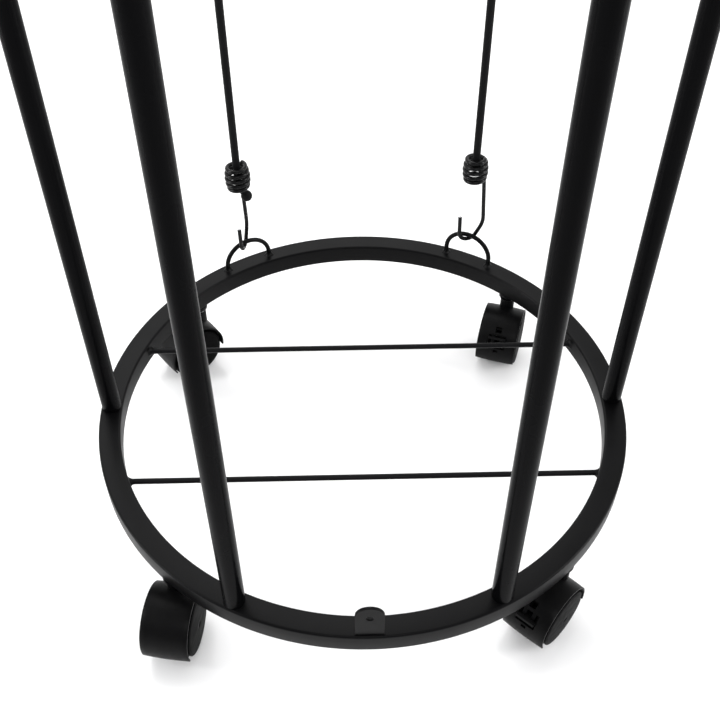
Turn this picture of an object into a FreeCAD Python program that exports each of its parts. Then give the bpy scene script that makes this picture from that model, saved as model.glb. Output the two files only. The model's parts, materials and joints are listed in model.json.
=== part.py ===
import FreeCAD, Part
import math
import os

# Rolling ball storage rack: a square-tube base ring on four hooded twin-wheel casters carries four
# upright round posts and a matching top ring. Two elastic cords with wire hooks close the open side.
# Millimetres. Origin on the floor at the middle of the rings, +Z up. The open side faces +Y, the
# closed side with the anchor tabs faces -Y, left is -X and right is +X.

Vector = FreeCAD.Vector
UP = Vector(0, 0, 1)

# ---- driving dimensions: rings ----
RING_OUTER_R = 165.0
TUBE_W = 13.5
TUBE_H = 13.5
TUBE_WALL = 1.2
TUBE_CORNER_R = 1.4

# ---- driving dimensions: posts ----
POST_R = 6.0
POST_WALL = 1.0
POST_LENGTH = 900.0
POST_ANGLES = {"post_right": 0.0, "post_left": 180.0,
               "post_rear_right": -62.8, "post_rear_left": -117.2}

# ---- driving dimensions: post screws and the threaded inserts that they bite in ----
SCREW_R = 2.9
SCREW_HEAD_R = 5.2
SCREW_HEAD_H = 2.8
SCREW_HEAD_ROUND = 1.1
SCREW_BITE = 12.0
SCREW_RECESS_R = 1.9
SCREW_RECESS_DEPTH = 1.6
INSERT_LENGTH = 16.0

# ---- driving dimensions: cross wires, ears, welds ----
CROSS_WIRE_R = 1.75
CROSS_WIRE_Y = 54.6
EAR_WIRE_R = 1.6
EAR_SPAN = 33.0
EAR_HEIGHTS = {"left": 19.3, "right": 21.9}
EAR_ANGLES = {"left": 120.0, "right": 60.0}
WELD_LENGTH = 2.4
WELD_SPREAD = 1.9

# ---- driving dimensions: anchor tabs ----
TAB_WIDTH = 15.6
TAB_THICKNESS = 1.8
TAB_HOLE_R = 2.1
TAB_HOLE_HEIGHT = 16.6
TAB_HEIGHT = 26.0
TAB_WELD_R = 2.2
TAB_WELD_HALF_LENGTH = 3.2

# ---- driving dimensions: casters ----
WHEEL_R = 20.0
WHEEL_FACE_SETBACK = 1.7
WHEEL_INNER_V = 4.6
WHEEL_OUTER_V = 14.0
WHEEL_DOME = 0.9
WHEEL_FLAT_R = 2.5
WHEEL_HUB_R = 6.0
WHEEL_WELL = 3.2
WHEEL_RIM_THICKNESS = 3.0
AXLE_R = 2.0
AXLE_HALF_LENGTH = 11.0
WHEEL_EDGE_ROUND = 0.5
WHEEL_SHOULDER = 1.6
WHEEL_SHOULDER_BULGE = 0.5
CASTER_OFFSET = 12.5
CASTER_STEM_ANGLES = {"rear_left": -133.9, "rear_right": -45.0, "front_right": 46.8, "front_left": 136.7}
CASTER_HEADINGS = {"rear_left": -100.0, "rear_right": -133.0, "front_right": -109.0, "front_left": -141.0}
HOOD_HALF_WIDTH = 13.8
HOOD_WALL = 0.9
HOOD_CROWN = 0.45
HOOD_LOW_ANGLE = -21.0
HOOD_HIGH_ANGLE = 190.0
WEB_CORE_R = 0.5
WEB_SETBACK = 10.0
WEB_HALF_WIDTH = 4.2
WEB_HUB_R = 6.5
NECK_R = 5.0
NECK_RISE = 5.7
NECK_FLOOR = 2.0
STEM_PIN_R = 3.0
STEM_PIN_LENGTH = 16.0
STEM_GROOVE_DEPTH = 0.7
STEM_GROOVE_WIDTH = 1.2
STEM_GROOVE_UP = 3.0
STEM_THREAD_R = 4.0
STEM_THREAD_SHORT = 2.0
SNAP_SPLIT = 1.0
COLLAR_R = 5.6
COLLAR_H = 1.0
NUT_R = 6.5
NUT_H = 3.5
NUT_PILOT_R = 5.4
NUT_PILOT_H = 4.0

# ---- driving dimensions: brake pedals of the two right-hand casters ----
BRAKE_TRAVEL = 22.0
BRAKED = {"rear_right": BRAKE_TRAVEL, "front_right": 0.0}
PIVOT_DEPTH = 7.95
PIVOT_ANGLE = 36.0
PIVOT_PIN_R = 1.0
PEDAL_HUB_R = 2.3
PEDAL_ARM_HALF_WIDTH = 1.5
PEDAL_HALF_WIDTH = 6.0
PEDAL_THICKNESS = 1.6
PEDAL_REACH = 3.0
PEDAL_BITE = 0.5
PEDAL_SLOT_BELOW = 21.0
PEDAL_SLOT_ABOVE = 5.0
PEDAL_ROOM_BELOW = 35.5
PEDAL_ROOM_ABOVE = 18.0
WINDOW_ANGLE = 52.0
WINDOW_HALF_SIDE = 2.2
WINDOW_DEPTH = 3.0
VENT_ANGLE = 9.5
VENT_HALF_WIDTH = 1.6
VENT_HALF_HEIGHT = 1.0

# ---- driving dimensions: elastic cords and wire hooks ----
CORD_R = 2.6
CORD_OUTWARD = 0.65
CORD_ANGLES = {"left": 120.5, "right": 60.0}
COIL_ABOVE_EAR = 46.8
COIL_LENGTH = 19.4
COIL_TURNS = 5
COIL_MID_R = 8.8
COIL_END_R = 6.8
COIL_GROOVE_DEPTH = 1.2
COIL_SWELL_FROM = 0.12
COIL_SWELL_TO = 0.94
HOOK_WIRE_R = 1.4
HOOK_BEND_R = 6.6
HOOK_BEND_SHIFT = 1.2
HOOK_SHANK = 9.6
HOOK_SHANK_BURY = 0.4
HOOK_TIP_ABOVE_EAR = 19.0
HOOK_TIP_FLARE = 0.4
HOOK_KNEE_ABOVE_EAR = 9.0
HOOK_KNEE_R = 14.0
HOOK_HEADINGS = {"left": -102.0, "right": 195.0}
KNOB_R = 3.9
KNOB_NECK_R = 2.3
KNOB_DROP = 6.5
KNOB_SIDE = 4.8
KNOB_NECK_RISE = 5.6
CORD_END_DEPTH = 6.0

# ---- named clearances ----
RUNNING_CLEARANCE = 0.06
SEAT_CLEARANCE = 0.02
HOLE_CLEARANCE = 0.4
WHEEL_CLEARANCE = 0.45
FACE_CLEARANCE = 0.2
AXLE_END_CLEARANCE = 0.3
PEDAL_CLEARANCE = 0.3
LIP_CLEARANCE = 0.05
HOOK_CLEARANCE = 0.5
CORD_CLEARANCE = 0.3
KNOB_CLEARANCE = 0.3

# ---- derived places ----
RING_INNER_R = RING_OUTER_R - TUBE_W
RING_MID_R = RING_OUTER_R - TUBE_W / 2
HOOD_INNER_R = WHEEL_R + WHEEL_CLEARANCE
HOOD_OUTER_R = HOOD_INNER_R + HOOD_WALL
HOOD_REACH = HOOD_OUTER_R + HOOD_CROWN
STEM_LOW = WHEEL_R + HOOD_REACH + NECK_RISE
CASTER_HEIGHT = STEM_LOW + COLLAR_H + NUT_H
BASE_LOW = CASTER_HEIGHT
BASE_TOP = BASE_LOW + TUBE_H
TOP_LOW = BASE_TOP + POST_LENGTH
TOP_TOP = TOP_LOW + TUBE_H
MIRROR_Z = (BASE_TOP + TOP_LOW) / 2
CORD_RADIUS = RING_MID_R + CORD_OUTWARD
PIVOT_RADIUS = HOOD_INNER_R - PIVOT_DEPTH
WHEEL_FACE_R = WHEEL_R - WHEEL_FACE_SETBACK


def ear_crown(side):
    """Height of the wire's centre at the top of one side's lower ear."""
    return BASE_TOP + EAR_HEIGHTS[side]


def coil_low(side):
    """Height of the lower mouth of one side's coil."""
    return ear_crown(side) + COIL_ABOVE_EAR


def coil_high(side):
    """Height of the upper end of one side's coil."""
    return coil_low(side) + COIL_LENGTH


def coil_roof(side):
    """Height of the coil's last turn, which stops the cord's knob."""
    return coil_high(side) - 2 * HOOK_WIRE_R


def knob_top(side):
    """Height of the top of a knob that is caught inside one side's coil."""
    return coil_roof(side) - KNOB_CLEARANCE


def polar(radius, degrees, z=0.0):
    """Point at a radius and an angle about the rack's axis."""
    turn = math.radians(degrees)
    return Vector(radius * math.cos(turn), radius * math.sin(turn), z)


def cylinder(radius, low, high, at=Vector(0, 0, 0)):
    """Upright round bar between two heights."""
    return Part.makeCylinder(radius, high - low, Vector(at.x, at.y, low), UP)


def bar_along_y(radius, low, high, x=0.0, z=0.0):
    """Round bar along Y between two Y places."""
    return Part.makeCylinder(radius, high - low, Vector(x, low, z), Vector(0, 1, 0))


def box(low, high):
    """Box from its low corner to its high corner."""
    size = high.sub(low)
    return Part.makeBox(size.x, size.y, size.z, low)


def polygon(points):
    """Closed face through points."""
    return Part.Face(Part.makePolygon(list(points) + [points[0]]))


def mirrored(shape):
    """The same piece turned over for the other end of the rack."""
    copy = shape.copy()
    return copy.mirror(Vector(0, 0, MIRROR_Z), UP)


def group(shapes):
    """Separate solids that share one node."""
    return Part.makeCompound(shapes)


def swept_wire(path, radius):
    """Round wire along straight runs and tangent arcs."""
    start = path.Edges[0]
    origin = start.valueAt(start.FirstParameter)
    along = start.tangentAt(start.FirstParameter)
    section = Part.Wire(Part.makeCircle(radius, origin, along))
    return path.makePipeShell([section], True, False)


def export(name, shape):
    """Write one node after making sure that every piece of it is a closed solid."""
    if not shape.isValid():
        raise ValueError(name + " is not a valid shape")
    if not shape.Solids:
        raise ValueError(name + " holds no solid")
    shape.exportStep("parts/" + name + ".step")


# ---- rings ----
def rounded_square_wire(centre_r, centre_z, half_w, half_h, corner):
    """Rounded rectangle in the XZ plane, centred on the ring's centreline."""
    edges = []
    corners = [(1, -1, -90), (1, 1, 0), (-1, 1, 90), (-1, -1, 180)]
    ends = []
    for side_x, side_z, begin in corners:
        mid = Vector(centre_r + side_x * (half_w - corner), 0, centre_z + side_z * (half_h - corner))
        on_arc = []
        for step in (0, 45, 90):
            turn = math.radians(begin + step)
            on_arc.append(mid.add(Vector(corner * math.cos(turn), 0, corner * math.sin(turn))))
        ends.append(on_arc)
    for number, on_arc in enumerate(ends):
        following = ends[(number + 1) % len(ends)]
        edges.append(Part.Arc(*on_arc).toShape())
        edges.append(Part.LineSegment(on_arc[2], following[0]).toShape())
    return Part.Wire(edges)


def ring_tube(low):
    """Closed hollow square-tube ring."""
    middle = low + TUBE_H / 2
    outer = rounded_square_wire(RING_MID_R, middle, TUBE_W / 2, TUBE_H / 2, TUBE_CORNER_R)
    inner_corner = max(TUBE_CORNER_R - TUBE_WALL, TUBE_WALL / 4)
    inner = rounded_square_wire(RING_MID_R, middle, TUBE_W / 2 - TUBE_WALL,
                                TUBE_H / 2 - TUBE_WALL, inner_corner)
    outside = Part.Face(outer).revolve(Vector(0, 0, 0), UP, 360)
    inside = Part.Face(inner).revolve(Vector(0, 0, 0), UP, 360)
    return outside.cut(inside)


def make_rings():
    """Base ring with caster and screw holes, and the top ring with screw holes."""
    base = ring_tube(BASE_LOW)
    top = ring_tube(TOP_LOW)
    hole_r = SCREW_R + HOLE_CLEARANCE
    for angle in POST_ANGLES.values():
        place = polar(RING_MID_R, angle)
        base = base.cut(cylinder(hole_r, BASE_LOW - 1, BASE_TOP + 1, place))
        top = top.cut(cylinder(hole_r, TOP_LOW - 1, TOP_TOP + 1, place))
    for angle in CASTER_STEM_ANGLES.values():
        place = polar(RING_MID_R, angle)
        base = base.cut(cylinder(NUT_PILOT_R + SEAT_CLEARANCE, BASE_LOW - 1, BASE_LOW + TUBE_WALL + 1, place))
    return {"base_ring": base, "top_ring": top}


# ---- posts, inserts, screws ----
def make_posts():
    """Four upright tubes, each on the ring's centreline."""
    nodes = {}
    for name, angle in POST_ANGLES.items():
        place = polar(RING_MID_R, angle)
        outside = cylinder(POST_R, BASE_TOP, TOP_LOW, place)
        nodes[name] = outside.cut(cylinder(POST_R - POST_WALL, BASE_TOP - 1, TOP_LOW + 1, place))
    return nodes


def make_inserts():
    """Threaded inserts pressed in both ends of each post."""
    pieces = []
    outer_r = POST_R - POST_WALL - SEAT_CLEARANCE
    for angle in POST_ANGLES.values():
        place = polar(RING_MID_R, angle)
        plug = cylinder(outer_r, BASE_TOP, BASE_TOP + INSERT_LENGTH, place)
        plug = plug.cut(cylinder(SCREW_R + RUNNING_CLEARANCE, BASE_TOP - 1, BASE_TOP + INSERT_LENGTH + 1, place))
        pieces.append(plug)
        pieces.append(mirrored(plug))
    return pieces


def make_screw(place):
    """Pan-head screw that comes up through the ring into the post, with a hexagonal recess."""
    shank = cylinder(SCREW_R, BASE_LOW, BASE_TOP + SCREW_BITE, place)
    head = cylinder(SCREW_HEAD_R, BASE_LOW - SCREW_HEAD_H, BASE_LOW, place)
    rim = [edge for edge in head.Edges if abs(edge.BoundBox.ZMax - (BASE_LOW - SCREW_HEAD_H)) < 0.01]
    head = head.makeFillet(SCREW_HEAD_ROUND, [rim[0]])
    corners = []
    for step in range(6):
        corners.append(place.add(polar(SCREW_RECESS_R, 60 * step, BASE_LOW - SCREW_HEAD_H)))
    recess = polygon(corners).extrude(Vector(0, 0, SCREW_RECESS_DEPTH))
    return head.fuse(shank).cut(recess).removeSplitter()


# ---- cross wires ----
def make_cross_wires():
    """Two straight wires across the base ring, stopped at its inner wall."""
    nodes = {}
    bore = cylinder(RING_INNER_R, BASE_LOW, BASE_TOP)
    for name, y in (("cross_wire_rear", -CROSS_WIRE_Y), ("cross_wire_front", CROSS_WIRE_Y)):
        start = Vector(-RING_OUTER_R, y, BASE_LOW + TUBE_H / 2)
        wire = Part.makeCylinder(CROSS_WIRE_R, 2 * RING_OUTER_R, start, Vector(1, 0, 0))
        nodes[name] = wire.common(bore)
    return nodes


# ---- ears for the hooks ----
def ear_feet(angle):
    """The two places where an ear's legs meet the ring."""
    tangent = polar(1, angle + 90)
    middle = polar(RING_MID_R, angle, BASE_TOP)
    return [middle.add(tangent * (side * EAR_SPAN / 2)) for side in (-1, 1)]


def make_ear(side):
    """Arched wire ear that stands on the ring."""
    foot_a, foot_b = ear_feet(EAR_ANGLES[side])
    rise = Vector(0, 0, EAR_HEIGHTS[side] - EAR_SPAN / 2)
    crown = (foot_a + foot_b) * 0.5 + Vector(0, 0, EAR_HEIGHTS[side])
    shoulder_a = foot_a + rise
    shoulder_b = foot_b + rise
    path = Part.Wire([Part.LineSegment(foot_a, shoulder_a).toShape(),
                      Part.Arc(shoulder_a, crown, shoulder_b).toShape(),
                      Part.LineSegment(shoulder_b, foot_b).toShape()])
    return swept_wire(path, EAR_WIRE_R)


# ---- weld beads ----
def bead(place, direction, wire_r):
    """Conical weld collar around a wire's end, wide side on the wall."""
    collar = Part.makeCone(wire_r + WELD_SPREAD, wire_r + SEAT_CLEARANCE, WELD_LENGTH, place, direction)
    core = Part.makeCylinder(wire_r + SEAT_CLEARANCE, 2 * WELD_LENGTH + 2, place - direction * (WELD_LENGTH + 1),
                             direction)
    return collar.cut(core)


def make_welds(tabs):
    """Weld beads at the cross wires, the ears and the tabs."""
    beads = []
    bore = cylinder(RING_INNER_R, BASE_LOW, BASE_TOP)
    reach = math.sqrt(RING_INNER_R ** 2 - CROSS_WIRE_Y ** 2)
    slack = (CROSS_WIRE_R + WELD_SPREAD) * CROSS_WIRE_Y / reach
    for y in (-CROSS_WIRE_Y, CROSS_WIRE_Y):
        for side in (-1, 1):
            wall = Vector(side * (reach + slack), y, BASE_LOW + TUBE_H / 2)
            inward = Vector(-side, 0, 0)
            wire_r = CROSS_WIRE_R
            blob = Part.makeCone(wire_r + WELD_SPREAD, wire_r + SEAT_CLEARANCE, WELD_LENGTH + slack, wall, inward)
            core = Part.makeCylinder(wire_r + SEAT_CLEARANCE, 4 * WELD_LENGTH + slack, wall, inward)
            beads.append(blob.cut(core).common(bore))
    for angle in EAR_ANGLES.values():
        for foot in ear_feet(angle):
            low = bead(foot, UP, EAR_WIRE_R)
            beads.append(low)
            beads.append(mirrored(low))
    tab_front_y = tabs.BoundBox.YMax
    tack = Part.makeCylinder(TAB_WELD_R, 2 * TAB_WELD_HALF_LENGTH,
                             Vector(-TAB_WELD_HALF_LENGTH, tab_front_y, BASE_TOP), Vector(1, 0, 0))
    room = box(Vector(-TAB_WIDTH, tab_front_y, BASE_TOP), Vector(TAB_WIDTH, tab_front_y + TUBE_W, BASE_TOP + TUBE_H))
    tack = tack.common(room)
    beads.append(tack)
    beads.append(mirrored(tack))
    return beads


# ---- anchor tabs ----
def make_tab():
    """Round-topped plate with a hole, standing on the ring's outer edge at the closed side."""
    back_y = -math.sqrt((RING_OUTER_R - TUBE_CORNER_R) ** 2 - (TAB_WIDTH / 2) ** 2)
    half = TAB_WIDTH / 2
    shoulder = BASE_TOP + TAB_HEIGHT - half
    edges = [Part.LineSegment(Vector(-half, back_y, shoulder), Vector(-half, back_y, BASE_TOP)).toShape(),
             Part.LineSegment(Vector(-half, back_y, BASE_TOP), Vector(half, back_y, BASE_TOP)).toShape(),
             Part.LineSegment(Vector(half, back_y, BASE_TOP), Vector(half, back_y, shoulder)).toShape(),
             Part.Arc(Vector(half, back_y, shoulder), Vector(0, back_y, BASE_TOP + TAB_HEIGHT),
                      Vector(-half, back_y, shoulder)).toShape()]
    plate = Part.Face(Part.Wire(edges)).extrude(Vector(0, TAB_THICKNESS, 0))
    hole = bar_along_y(TAB_HOLE_R, back_y - 1, back_y + TAB_THICKNESS + 1, z=BASE_TOP + TAB_HOLE_HEIGHT)
    return plate.cut(hole)


# ---- casters, built with the stem on the Z axis, the wheels trailing along +X and the axle along Y ----
def place_caster(shape, corner):
    """Turn a caster piece to its heading and put it under its corner of the base ring."""
    copy = shape.copy()
    copy.rotate(Vector(0, 0, 0), UP, CASTER_HEADINGS[corner])
    copy.translate(polar(RING_MID_R, CASTER_STEM_ANGLES[corner]))
    return copy


def about_axle(radius, degrees, v=0.0):
    """Point at a radius and an angle above the horizontal about a caster's axle."""
    turn = math.radians(degrees)
    return Vector(CASTER_OFFSET + radius * math.cos(turn), v, WHEEL_R + radius * math.sin(turn))


def sector(inner_r, outer_r, low, high, half_width):
    """Part of a thick tube about the axle between two angles."""
    face = polygon([about_axle(inner_r, low, -half_width), about_axle(outer_r, low, -half_width),
                    about_axle(outer_r, low, half_width), about_axle(inner_r, low, half_width)])
    return face.revolve(about_axle(0, 0), Vector(0, -1, 0), high - low)


def radial_block(inner_r, outer_r, degrees, half_v, half_t):
    """Block that points away from the axle at one angle."""
    block = box(Vector(inner_r, -half_v, -half_t), Vector(outer_r, half_v, half_t))
    block.rotate(Vector(0, 0, 0), Vector(0, -1, 0), degrees)
    block.translate(about_axle(0, 0))
    return block


def hood_shell():
    """Crowned barrel shell over both wheels."""
    low = HOOD_LOW_ANGLE
    half = HOOD_HALF_WIDTH
    inner_a = about_axle(HOOD_INNER_R, low, -half)
    inner_b = about_axle(HOOD_INNER_R, low, half)
    outer_a = about_axle(HOOD_OUTER_R, low, -half)
    outer_b = about_axle(HOOD_OUTER_R, low, half)
    crown = about_axle(HOOD_OUTER_R + HOOD_CROWN, low, 0)
    edges = [Part.LineSegment(inner_a, outer_a).toShape(),
             Part.Arc(outer_a, crown, outer_b).toShape(),
             Part.LineSegment(outer_b, inner_b).toShape(),
             Part.LineSegment(inner_b, inner_a).toShape()]
    face = Part.Face(Part.Wire(edges))
    return face.revolve(about_axle(0, 0), Vector(0, -1, 0), HOOD_HIGH_ANGLE - low)


def make_hood(braked):
    """Caster body: hood, web between the wheels, axle hub and the socket for the stem."""
    web = sector(WEB_CORE_R, HOOD_INNER_R + HOOD_WALL / 2, 0, HOOD_HIGH_ANGLE - WEB_SETBACK, WEB_HALF_WIDTH)
    hub = bar_along_y(WEB_HUB_R, -WEB_HALF_WIDTH, WEB_HALF_WIDTH, CASTER_OFFSET, WHEEL_R)
    neck_top = STEM_LOW - FACE_CLEARANCE
    neck = cylinder(NECK_R, neck_top - STEM_PIN_LENGTH - NECK_FLOOR, neck_top)
    for low, high in ((-HOOD_HALF_WIDTH, -WEB_HALF_WIDTH), (WEB_HALF_WIDTH, HOOD_HALF_WIDTH)):
        neck = neck.cut(bar_along_y(HOOD_INNER_R, low, high, CASTER_OFFSET, WHEEL_R))
    body = hood_shell().fuse([web, hub, neck])
    body = body.cut(bar_along_y(AXLE_R + SEAT_CLEARANCE, -NECK_R, NECK_R, CASTER_OFFSET, WHEEL_R))
    body = body.cut(cylinder(STEM_PIN_R + RUNNING_CLEARANCE, neck_top - STEM_PIN_LENGTH, neck_top + 1))
    if braked:
        body = cut_for_brake(body)
    return body.removeSplitter()


def cut_for_brake(body):
    """Room for the pedal's arm inside the web, the lip's slot, the pin's bore and two small windows."""
    outside = HOOD_REACH + 1
    pivot = about_axle(PIVOT_RADIUS, PIVOT_ANGLE)
    arm_room = sector(PIVOT_RADIUS - PEDAL_HUB_R - 2 * PEDAL_CLEARANCE, HOOD_INNER_R,
                      PIVOT_ANGLE - PEDAL_ROOM_BELOW, PIVOT_ANGLE + PEDAL_ROOM_ABOVE,
                      PEDAL_ARM_HALF_WIDTH + PEDAL_CLEARANCE)
    lip_slot = sector(HOOD_INNER_R, outside, PIVOT_ANGLE - PEDAL_SLOT_BELOW, PIVOT_ANGLE + PEDAL_SLOT_ABOVE,
                      PEDAL_HALF_WIDTH + PEDAL_CLEARANCE)
    bore = bar_along_y(PIVOT_PIN_R + SEAT_CLEARANCE, -WEB_HALF_WIDTH - 1, WEB_HALF_WIDTH + 1, pivot.x, pivot.z)
    window = radial_block(HOOD_INNER_R - WINDOW_DEPTH, outside, WINDOW_ANGLE, WINDOW_HALF_SIDE, WINDOW_HALF_SIDE)
    vent = radial_block(HOOD_INNER_R, outside, VENT_ANGLE, VENT_HALF_WIDTH, VENT_HALF_HEIGHT)
    return body.cut(arm_room).cut(lip_slot).cut(bore).cut(window).cut(vent)


def make_axle():
    """Steel pin through the web that carries both wheels."""
    return bar_along_y(AXLE_R, -AXLE_HALF_LENGTH, AXLE_HALF_LENGTH, CASTER_OFFSET, WHEEL_R)


def make_wheel(side):
    """Moulded wheel: rim, recessed inner side, blind axle bore and a domed outer face."""
    bore = AXLE_R + RUNNING_CLEARANCE
    bore_end = AXLE_HALF_LENGTH + AXLE_END_CLEARANCE
    rim_inner = WHEEL_R - WHEEL_RIM_THICKNESS
    face_edge = Vector(CASTER_OFFSET + WHEEL_FACE_R, WHEEL_OUTER_V, WHEEL_R)
    tread_turn = WHEEL_OUTER_V - WHEEL_SHOULDER

    def at(radius, v):
        return Vector(CASTER_OFFSET + radius, v, WHEEL_R)

    edges = []
    straight = [at(0, bore_end), at(bore, bore_end), at(bore, WHEEL_INNER_V), at(WHEEL_HUB_R, WHEEL_INNER_V),
                at(WHEEL_HUB_R, WHEEL_INNER_V + WHEEL_WELL), at(rim_inner, WHEEL_INNER_V + WHEEL_WELL),
                at(rim_inner, WHEEL_INNER_V), at(WHEEL_R - WHEEL_EDGE_ROUND, WHEEL_INNER_V),
                at(WHEEL_R, WHEEL_INNER_V + WHEEL_EDGE_ROUND), at(WHEEL_R, tread_turn)]
    for start, end in zip(straight, straight[1:]):
        edges.append(Part.LineSegment(start, end).toShape())
    shoulder = at(WHEEL_R - WHEEL_SHOULDER_BULGE, WHEEL_OUTER_V - WHEEL_SHOULDER_BULGE)
    edges.append(Part.Arc(at(WHEEL_R, tread_turn), shoulder, face_edge).toShape())
    dome_mid = at(WHEEL_FACE_R / 2, WHEEL_OUTER_V + WHEEL_DOME * 0.75)
    flat_edge = at(WHEEL_FLAT_R, WHEEL_OUTER_V + WHEEL_DOME)
    flat_middle = at(0, WHEEL_OUTER_V + WHEEL_DOME)
    edges.append(Part.Arc(face_edge, dome_mid, flat_edge).toShape())
    edges.append(Part.LineSegment(flat_edge, flat_middle).toShape())
    edges.append(Part.LineSegment(flat_middle, at(0, bore_end)).toShape())
    wheel = Part.Face(Part.Wire(edges)).revolve(at(0, 0), Vector(0, 1, 0), 360)
    if side < 0:
        wheel = wheel.mirror(Vector(0, 0, 0), Vector(0, 1, 0))
    return wheel


def make_pedal(pressed):
    """Brake pedal: hub on its pin, arm through the web and a flat lip outside the hood."""
    pivot = about_axle(PIVOT_RADIUS, PIVOT_ANGLE)
    half_thickness = PEDAL_THICKNESS / 2
    lip_low = HOOD_OUTER_R + LIP_CLEARANCE
    hub = bar_along_y(PEDAL_HUB_R, -PEDAL_ARM_HALF_WIDTH, PEDAL_ARM_HALF_WIDTH, pivot.x, pivot.z)
    arm = radial_block(PIVOT_RADIUS, lip_low + PEDAL_BITE, PIVOT_ANGLE, PEDAL_ARM_HALF_WIDTH, half_thickness)
    lip = radial_block(lip_low, lip_low + PEDAL_REACH, PIVOT_ANGLE, PEDAL_HALF_WIDTH, half_thickness)
    bore = bar_along_y(PIVOT_PIN_R + RUNNING_CLEARANCE, -PEDAL_HALF_WIDTH, PEDAL_HALF_WIDTH, pivot.x, pivot.z)
    pedal = hub.fuse([arm, lip]).cut(bore)
    pedal.rotate(pivot, Vector(0, 1, 0), pressed)
    return pedal.removeSplitter()


def make_pedal_pin():
    """Pin that the brake pedal turns on."""
    pivot = about_axle(PIVOT_RADIUS, PIVOT_ANGLE)
    return bar_along_y(PIVOT_PIN_R, -WEB_HALF_WIDTH, WEB_HALF_WIDTH, pivot.x, pivot.z)


def make_stem():
    """Threaded stem with its collar and the grooved pin that the caster body turns on."""
    thread_top = CASTER_HEIGHT + TUBE_H - TUBE_WALL - STEM_THREAD_SHORT
    thread = cylinder(STEM_THREAD_R, STEM_LOW + COLLAR_H / 2, thread_top)
    collar = cylinder(COLLAR_R, STEM_LOW, STEM_LOW + COLLAR_H)
    pin_low = STEM_LOW - STEM_PIN_LENGTH + FACE_CLEARANCE
    pin = cylinder(STEM_PIN_R, pin_low, STEM_LOW)
    stem = thread.fuse([collar, pin])
    groove_low = pin_low + STEM_GROOVE_UP
    groove = cylinder(STEM_PIN_R + 1, groove_low, groove_low + STEM_GROOVE_WIDTH)
    groove = groove.cut(cylinder(STEM_PIN_R - STEM_GROOVE_DEPTH, groove_low - 1, groove_low + STEM_GROOVE_WIDTH + 1))
    return stem.cut(groove).removeSplitter()


def make_snap_ring():
    """Split ring in the stem's groove that keeps the caster body on."""
    low = STEM_LOW - STEM_PIN_LENGTH + FACE_CLEARANCE + STEM_GROOVE_UP + SEAT_CLEARANCE
    high = low + STEM_GROOVE_WIDTH - 2 * SEAT_CLEARANCE
    ring = cylinder(STEM_PIN_R, low, high).cut(cylinder(STEM_PIN_R - STEM_GROOVE_DEPTH + SEAT_CLEARANCE, low, high))
    split = box(Vector(0, -SNAP_SPLIT / 2, low - 1), Vector(STEM_PIN_R + 1, SNAP_SPLIT / 2, high + 1))
    return ring.cut(split)


def make_nut():
    """Round weld nut under the base ring with a pilot in the tube's lower wall."""
    body = cylinder(NUT_R, CASTER_HEIGHT - NUT_H, CASTER_HEIGHT)
    pilot = cylinder(NUT_PILOT_R, CASTER_HEIGHT - 1, CASTER_HEIGHT + NUT_PILOT_H)
    bore = cylinder(STEM_THREAD_R + SEAT_CLEARANCE, CASTER_HEIGHT - NUT_H - 1, CASTER_HEIGHT + NUT_PILOT_H + 1)
    return body.fuse(pilot).cut(bore).removeSplitter()


def make_casters():
    """All four casters: shared groups of nuts, stems and rings, and each caster's own pieces."""
    nodes = {}
    nuts = []
    stems = []
    rings = []
    for corner, angle in CASTER_STEM_ANGLES.items():
        nuts.append(place_caster(make_nut(), corner))
        stems.append(place_caster(make_stem(), corner))
        rings.append(place_caster(make_snap_ring(), corner))
        nodes[corner + "_caster_hood"] = place_caster(make_hood(corner in BRAKED), corner)
        nodes[corner + "_caster_axle"] = place_caster(make_axle(), corner)
        nodes[corner + "_wheel_a"] = place_caster(make_wheel(1), corner)
        nodes[corner + "_wheel_b"] = place_caster(make_wheel(-1), corner)
        if corner in BRAKED:
            nodes[corner + "_brake_pedal"] = place_caster(make_pedal(BRAKED[corner]), corner)
            nodes[corner + "_brake_pin"] = place_caster(make_pedal_pin(), corner)
    nodes["caster_weld_nuts"] = group(nuts)
    nodes["caster_stems"] = group(stems)
    nodes["stem_snap_rings"] = group(rings)
    return nodes


# ---- hooks and elastic cords, built with the cord on the Z axis and the hook's tip along +X ----
def coil_radius(height_share):
    """Outer radius of the barrel-shaped winding from its low end to its high end."""
    swell = math.sin(math.pi * (COIL_SWELL_FROM + (COIL_SWELL_TO - COIL_SWELL_FROM) * height_share))
    return COIL_END_R + (COIL_MID_R - COIL_END_R) * swell


def make_coil(side):
    """Wound end of the hook: ribbed barrel with room inside for the cord's knob."""
    pitch = COIL_LENGTH / COIL_TURNS
    cord_hole = CORD_R + CORD_CLEARANCE
    ridges = []
    for turn in range(COIL_TURNS):
        radius = coil_radius((turn + 0.5) / COIL_TURNS)
        centre = coil_low(side) + pitch * (turn + 0.5)
        low = Vector(radius - COIL_GROOVE_DEPTH, 0, centre - pitch / 2)
        high = Vector(radius - COIL_GROOVE_DEPTH, 0, centre + pitch / 2)
        ridges.append((low, Vector(radius, 0, centre), high))
    low_inner = Vector(cord_hole, 0, ridges[0][0].z)
    high_inner = Vector(cord_hole, 0, ridges[-1][2].z)
    edges = [Part.LineSegment(low_inner, ridges[0][0]).toShape()]
    for number, (low, mid, high) in enumerate(ridges):
        edges.append(Part.Arc(low, mid, high).toShape())
        if number + 1 < len(ridges):
            edges.append(Part.LineSegment(high, ridges[number + 1][0]).toShape())
    edges.append(Part.LineSegment(ridges[-1][2], high_inner).toShape())
    edges.append(Part.LineSegment(high_inner, low_inner).toShape())
    barrel = Part.Face(Part.Wire(edges)).revolve(Vector(0, 0, 0), UP, 360)
    room = cylinder(KNOB_R + KNOB_CLEARANCE, coil_low(side) - 1, coil_roof(side))
    return barrel.cut(room)


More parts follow.
